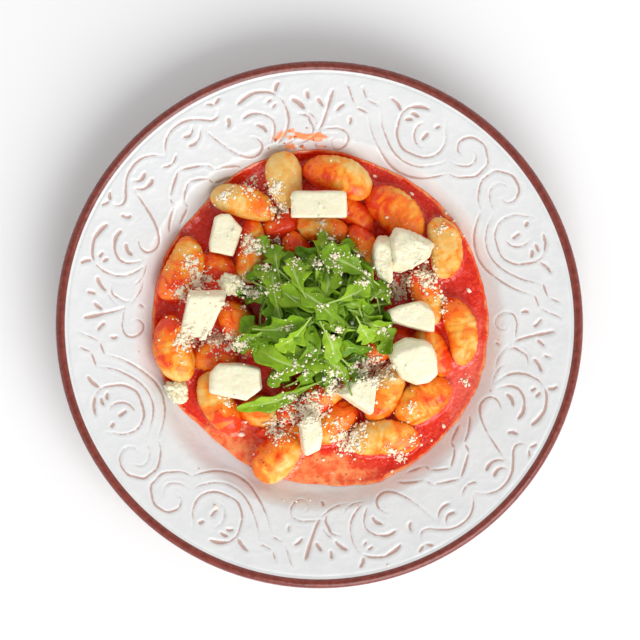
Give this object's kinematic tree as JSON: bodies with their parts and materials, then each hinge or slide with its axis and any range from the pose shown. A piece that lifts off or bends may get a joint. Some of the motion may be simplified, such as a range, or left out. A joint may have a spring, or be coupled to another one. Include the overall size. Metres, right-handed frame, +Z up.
{
  "type": "potato gnocchi dish",
  "caption": "Gnocchi in tomato sauce with mozzarella chunks and a heap of rocket leaves, on a round wide-rimmed stoneware plate with a shallow well.",
  "frame": {"origin": "middle of the plate's foot ring, on the surface the plate stands on", "axes": "+Z up, out of the well; +Y towards the top of the dish as it is seen from above, +X to its right"},
  "size_m": [0.27, 0.27, 0.05],
  "materials": {
    "stoneware": "glossy",
    "tomato_sauce": "glossy, wet",
    "dumpling_dough": "satin, moist",
    "mozzarella": "satin, moist",
    "rocket_leaf": "satin"
  },
  "bodies": {
    "root": {"plate": "stoneware", "sauce": "tomato_sauce", "gnocchi_01": "dumpling_dough", "gnocchi_02": "dumpling_dough", "gnocchi_03": "dumpling_dough", "gnocchi_04": "dumpling_dough", "gnocchi_05": "dumpling_dough", "gnocchi_06": "dumpling_dough", "gnocchi_07": "dumpling_dough", "gnocchi_08": "dumpling_dough", "gnocchi_09": "dumpling_dough", "gnocchi_10": "dumpling_dough", "gnocchi_11": "dumpling_dough", "gnocchi_12": "dumpling_dough", "gnocchi_13": "dumpling_dough", "gnocchi_14": "dumpling_dough", "gnocchi_15": "dumpling_dough", "gnocchi_16": "dumpling_dough", "gnocchi_17": "dumpling_dough", "gnocchi_18": "dumpling_dough", "gnocchi_19": "dumpling_dough", "gnocchi_20": "dumpling_dough", "gnocchi_21": "dumpling_dough", "gnocchi_22": "dumpling_dough", "gnocchi_23": "dumpling_dough", "gnocchi_24": "dumpling_dough", "gnocchi_25": "dumpling_dough", "gnocchi_26": "dumpling_dough", "gnocchi_27": "dumpling_dough", "gnocchi_28": "dumpling_dough", "gnocchi_29": "dumpling_dough", "gnocchi_30": "dumpling_dough", "mozzarella_01": "mozzarella", "mozzarella_02": "mozzarella", "mozzarella_03": "mozzarella", "mozzarella_04": "mozzarella", "mozzarella_05": "mozzarella", "mozzarella_06": "mozzarella", "mozzarella_07": "mozzarella", "mozzarella_08": "mozzarella", "mozzarella_09": "mozzarella", "mozzarella_10": "mozzarella", "mozzarella_11": "mozzarella", "mozzarella_12": "mozzarella", "rocket": "rocket_leaf"}
  },
  "joints": []
}
